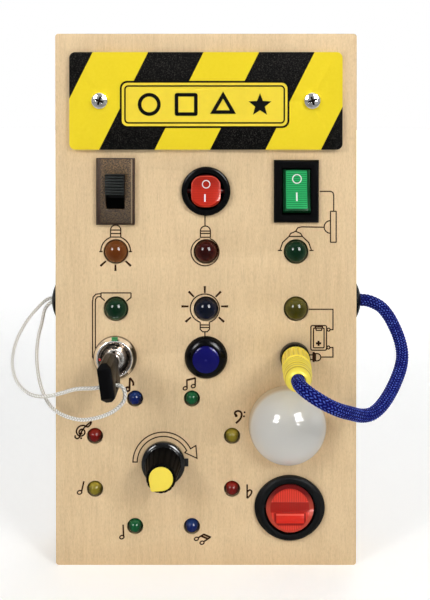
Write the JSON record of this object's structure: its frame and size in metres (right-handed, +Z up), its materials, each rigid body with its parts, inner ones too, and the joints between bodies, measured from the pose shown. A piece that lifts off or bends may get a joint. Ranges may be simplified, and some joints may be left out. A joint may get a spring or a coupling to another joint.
{
  "type": "wooden busy board",
  "caption": "Shallow plywood activity box for a toddler: slide and rocker switches, unlit lamps, a key lock, a push button, a tethered plug and key, a turning knob and a striped sign plate.",
  "frame": {"origin": "middle of the bottom face, on the surface that the board stands on", "axes": "+Z up along the board's height, +X to the right seen from the front, +Y from the front panel to the back"},
  "size_m": [0.1873, 0.1013, 0.25],
  "materials": {
    "plywood": "pale plywood, fine vertical grain, thin matt lacquer",
    "sign_yellow": "fine-textured yellow with black diagonal stripes",
    "black_plastic": "matt black, fine spark texture",
    "black_gloss": "polished black moulding",
    "grey_plastic": "dark brown-grey, coarse spark texture",
    "red_gloss": "translucent red with white marks",
    "green_gloss": "translucent ribbed green with white marks",
    "dark_green_gloss": "dark tinted green",
    "orange_lens": "unlit orange lens",
    "red_lens": "unlit red lens",
    "green_lens": "unlit green lens",
    "blue_lens": "unlit blue lens",
    "olive_lens": "unlit yellow lens",
    "cap_blue": "blue-violet moulding",
    "plug_yellow": "smooth yellow moulding",
    "milky_plastic": "translucent milky white",
    "white_plastic": "plain white",
    "chrome": "bright plated",
    "steel": "plain turned steel",
    "brass": "plain brass",
    "circuit_board": "green glass-fibre board",
    "cell_wrap": "plain wrapped cell",
    "cord_blue": "braided royal blue with light flecks",
    "string_white": "braided off-white"
  },
  "bodies": {
    "root": {"front_panel": "plywood", "left_rail": "plywood", "right_rail": "plywood", "top_rail": "plywood", "bottom_rail": "plywood", "back_panel": "plywood", "battery_door": "black_plastic", "back_screws": "steel", "battery_holder": "black_plastic", "batteries": "cell_wrap", "sign_plate": "sign_yellow", "sign_screws": "chrome", "slide_switch_bezel": "grey_plastic", "slide_switch_case": "black_plastic", "round_rocker_body": "black_gloss", "rect_rocker_body": "black_gloss", "big_rocker_body": "black_gloss", "switch_terminals": "brass", "orange_light": "orange_lens", "red_light": "red_lens", "green_lights": "green_lens", "blue_light": "blue_lens", "olive_light": "olive_lens", "small_green_lights": "green_lens", "small_red_lights": "red_lens", "small_blue_lights": "blue_lens", "small_olive_lights": "olive_lens", "light_board": "circuit_board", "ring_board": "circuit_board", "board_spacers": "white_plastic", "board_screws": "steel", "lock_barrel": "chrome", "lock_nut": "steel", "lock_contact_block": "black_plastic", "push_button_body": "black_gloss", "push_button_nut": "black_plastic", "push_button_spring": "steel", "socket_body": "black_gloss", "socket_nut": "steel", "blue_cord": "cord_blue", "key_string": "string_white", "side_grommets": "black_plastic", "potentiometer": "steel", "potentiometer_nut": "steel", "lamp_dome": "milky_plastic", "lamp_holder": "white_plastic"},
    "slider": {"slide_switch_slider": "black_plastic"},
    "round_paddle": {"round_rocker_paddle": "red_gloss"},
    "rect_paddle": {"rect_rocker_paddle": "dark_green_gloss", "rect_rocker_lens": "green_gloss"},
    "big_paddle": {"big_rocker_paddle": "red_gloss"},
    "lock_plug": {"lock_plug": "steel"},
    "key": {"key_shank": "steel", "key_bow": "black_plastic"},
    "button_cap": {"push_button_cap": "cap_blue"},
    "knob": {"knob": "black_plastic", "knob_cap": "plug_yellow", "knob_shaft": "steel"},
    "plug": {"plug_shell": "plug_yellow", "plug_pin": "steel"}
  },
  "joints": [
    {"name": "slide_switch", "type": "slide", "parent": "root", "child": "slider", "axis": [0, 0, -1], "range_m": [0, 0.0069]},
    {"name": "round_rocker", "type": "hinge", "parent": "root", "child": "round_paddle", "pos_m": [0, -0.0196, 0.1762], "axis": [1, 0, 0], "range_deg": [0, 18]},
    {"name": "rect_rocker", "type": "hinge", "parent": "root", "child": "rect_paddle", "pos_m": [0.0423, -0.0196, 0.1762], "axis": [1, 0, 0], "range_deg": [0, 18]},
    {"name": "big_rocker", "type": "hinge", "parent": "root", "child": "big_paddle", "pos_m": [0.0393, -0.0196, 0.0276], "axis": [1, 0, 0], "range_deg": [0, 18]},
    {"name": "key_turn", "type": "hinge", "parent": "root", "child": "lock_plug", "pos_m": [-0.0427, -0.02, 0.098], "axis": [0, 1, 0], "range_deg": [0, 90]},
    {"name": "key_pull", "type": "slide", "parent": "lock_plug", "child": "key", "axis": [0, -1, 0], "range_m": [0, 0.019], "deforming": ["key_string"]},
    {"name": "push_button", "type": "slide", "parent": "root", "child": "button_cap", "axis": [0, 1, 0], "range_m": [0, 0.0025], "stiffness_N_per_m": 400, "deforming": ["push_button_spring"]},
    {"name": "knob_turn", "type": "hinge", "parent": "root", "child": "knob", "pos_m": [-0.02, -0.02, 0.0485], "axis": [0, 1, 0], "range_deg": [0, 300]},
    {"name": "plug_pull", "type": "slide", "parent": "root", "child": "plug", "axis": [0, -1, 0], "range_m": [0, 0.018], "deforming": ["blue_cord"]}
  ]
}
